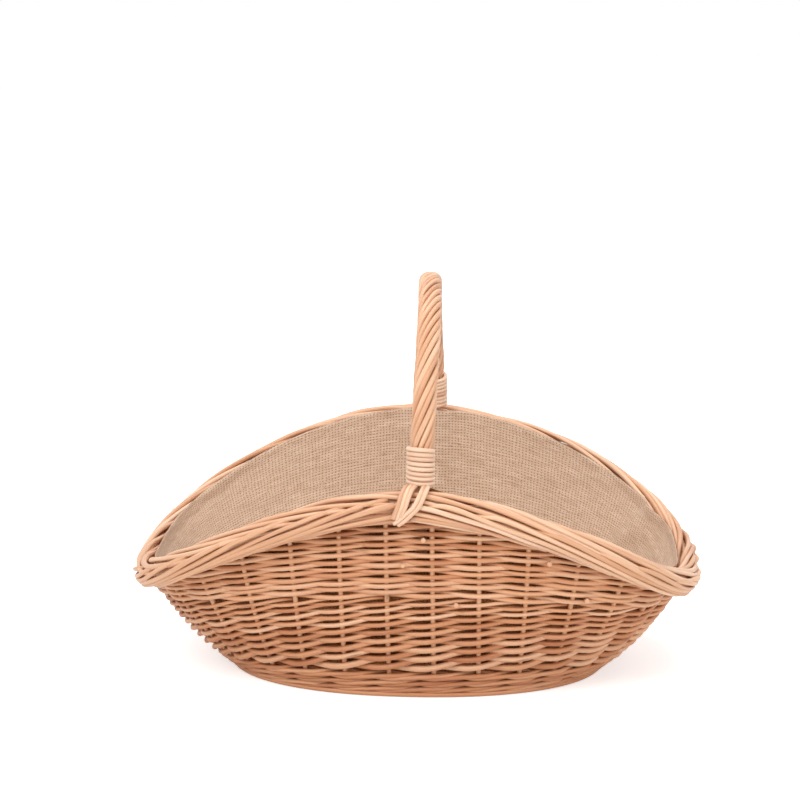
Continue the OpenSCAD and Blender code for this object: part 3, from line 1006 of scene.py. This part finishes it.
def lining_floor():
    bm = bmesh.new()
    bmesh.ops.create_grid(bm, x_segments=90, y_segments=64, size=1)
    uv = bm.loops.layers.uv.new("UVMap")
    for vert in bm.verts:
        # Square to disc, then to the base's oval
        x, y = vert.co.x, vert.co.y
        disc = Vector((x * math.sqrt(1 - y * y / 2), y * math.sqrt(1 - x * x / 2)))
        t = math.atan2(disc.y, disc.x) if disc.length > 1e-9 else 0
        stretch = power_sum(t, base_squareness)
        vert.co.x = disc.x * stretch * (base_half_length - floor_inset)
        vert.co.y = disc.y * stretch * (base_half_width - floor_inset)
        folds = abs(cloth_height(vert.co.x * 3, vert.co.y * 6)) * 0.5
        vert.co.z = lining_floor_z + lining_t / 2 + folds
    for face in bm.faces:
        for loop in face.loops:
            loop[uv].uv = loop.vert.co.xy
    piece, area = cloth_piece("lining_floor_cloth", bm)
    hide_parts("lining_floor")


# Base
def between_feet(i):
    return (base_point(stake_angle(i)) + base_point(stake_angle(i + 1))) / 2


def woven_base():
    """Rounds of rods that pass over and under the sticks, from the middle out to the edge."""
    cross_at = [between_feet(quarter - 1 + k).x for k in range(-(cross_sticks // 2), cross_sticks // 2 + 1)]
    long_at = [between_feet(k - 1).y for k in range(-(long_sticks // 2), long_sticks // 2 + 1)]
    heart_x = max(cross_at) + 6 * mm
    heart_y = max(long_at) + 5 * mm
    heart_squareness = 5
    rounds = 16
    count = 240
    rods = []
    for row in range(rounds):
        f = row / (rounds - 1)
        a = heart_x + (base_half_length + base_edge - heart_x) * f
        b = heart_y + (base_half_width + base_edge - heart_y) * f
        squareness = heart_squareness - (heart_squareness - base_squareness) * f
        spots = [on_oval(a, b, squareness, 360 * k / count) for k in range(count)]
        sides = []
        crossed = 0
        last = None
        for spot in spots:
            bay = (sum(spot.x > x for x in cross_at), sum(spot.y > y for y in long_at))
            if last is not None and bay != last:
                crossed += 1
            last = bay
            sides.append(1 if (crossed + row) % 2 == 0 else -1)
        points = []
        for k, spot in enumerate(spots):
            near = [sides[(k + n) % count] for n in range(-3, 4)]
            points.append(Vector((*spot, foot_z + sum(near) / len(near) * base_rod_lift)))
        rods.append((points, [base_rod_d] * count, random.random(), True))
    piece = rod_piece("base_rods", rods, sides=8)
    finish(piece, weave_finish)
    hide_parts("base_weave")


def cad_finishes():
    for name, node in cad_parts.items():
        if name.startswith("side_stake"):
            coat(node, stake_finish)
        elif name in ("base_cross_sticks", "base_long_sticks"):
            coat(node, stick_finish)


# Studio
floor_half = 6
light_aim = Vector((0, 0, 0.15))
camera_elevation = math.radians(13.236)
camera_azimuth = math.radians(3.135)
camera_distance = 2.5
camera_aim = Vector((-0.0189, 0, 0.2878))
# The film's width in millimetres, then the photograph's width and focal length in dots
film_width = 36
picture_width = 800
focal_pixels = 2356.5


def floor_paper():
    """White paper, lifted for the camera so that only the basket's own shadow shows on it."""
    material, shader = new_material("floor_paper")
    tree = material.node_tree
    shader.inputs["Base Color"].default_value = (0.9, 0.9, 0.9, 1)
    shader.inputs["Roughness"].default_value = 1
    shader.inputs["Specular IOR Level"].default_value = 0
    shader.inputs["Emission Color"].default_value = (1, 1, 1, 1)
    seen = add(tree, "LightPath").outputs["Is Camera Ray"]
    tree.links.new(maths(tree, "MULTIPLY", seen, 0.5), shader.inputs["Emission Strength"])
    return material


def white_world():
    """Soft light from all round, which the camera and the gloss see as plain white."""
    world = bpy.data.worlds.new("studio")
    bpy.context.scene.world = world
    world.use_nodes = True
    tree = world.node_tree
    tree.nodes.clear()
    output = add(tree, "OutputWorld")
    path = add(tree, "LightPath")
    seen = maths(tree, "MAXIMUM", path.outputs["Is Camera Ray"], path.outputs["Is Glossy Ray"])
    strength = maths(tree, "MULTIPLY_ADD", seen, 0.3, 0.7)
    sky = add(tree, "Background", {"Color": (1, 1, 1, 1), "Strength": strength})
    tree.links.new(sky.outputs[0], output.inputs["Surface"])


def studio_floor():
    bm = bmesh.new()
    bmesh.ops.create_grid(bm, x_segments=1, y_segments=1, size=floor_half)
    floor = object_of("floor", bm)
    floor.data.materials.append(floor_paper())


def soft_light(name, place, size, power):
    """A square lamp that shines on the basket's body."""
    light = bpy.data.lights.new(name, "AREA")
    light.shape = "SQUARE"
    light.size = size
    light.energy = power
    lamp = bpy.data.objects.new(name, light)
    bpy.context.scene.collection.objects.link(lamp)
    lamp.location = place
    lamp.rotation_euler = (light_aim - Vector(place)).to_track_quat("-Z", "Y").to_euler()


def photograph_camera():
    """The camera that fits the photograph."""
    level = math.cos(camera_elevation)
    back = Vector((math.sin(camera_azimuth) * level, -math.cos(camera_azimuth) * level,
                   math.sin(camera_elevation)))
    lens = bpy.data.cameras.new("camera")
    lens.sensor_width = film_width
    lens.lens = film_width * focal_pixels / picture_width
    camera = bpy.data.objects.new("camera", lens)
    bpy.context.scene.collection.objects.link(camera)
    camera.location = camera_aim + back * camera_distance
    camera.rotation_euler = (-back).to_track_quat("-Z", "Y").to_euler()
    bpy.context.scene.camera = camera
    bpy.context.scene.view_settings.view_transform = "Standard"


random.seed(11)
woven_base()
upsett()
foot_row()
siding()
packing("packing_front", 270)
packing("packing_back", 90)
cut_ends()
border()
border_core()
handle_bow()
handle_rope()
whipping("whipping_front", 1)
whipping("whipping_back", -1)
tails("tails_front", 1)
tails("tails_back", -1)
lining_side()
lining_floor()
cad_finishes()
white_world()
studio_floor()
soft_light("key", (-1.3, -1.9, 2.1), 1.3, 34)
soft_light("fill", (1.8, -1.6, 1.2), 1.5, 14)
soft_light("top", (0.1, 0.5, 2.4), 1.6, 22)
photograph_camera()
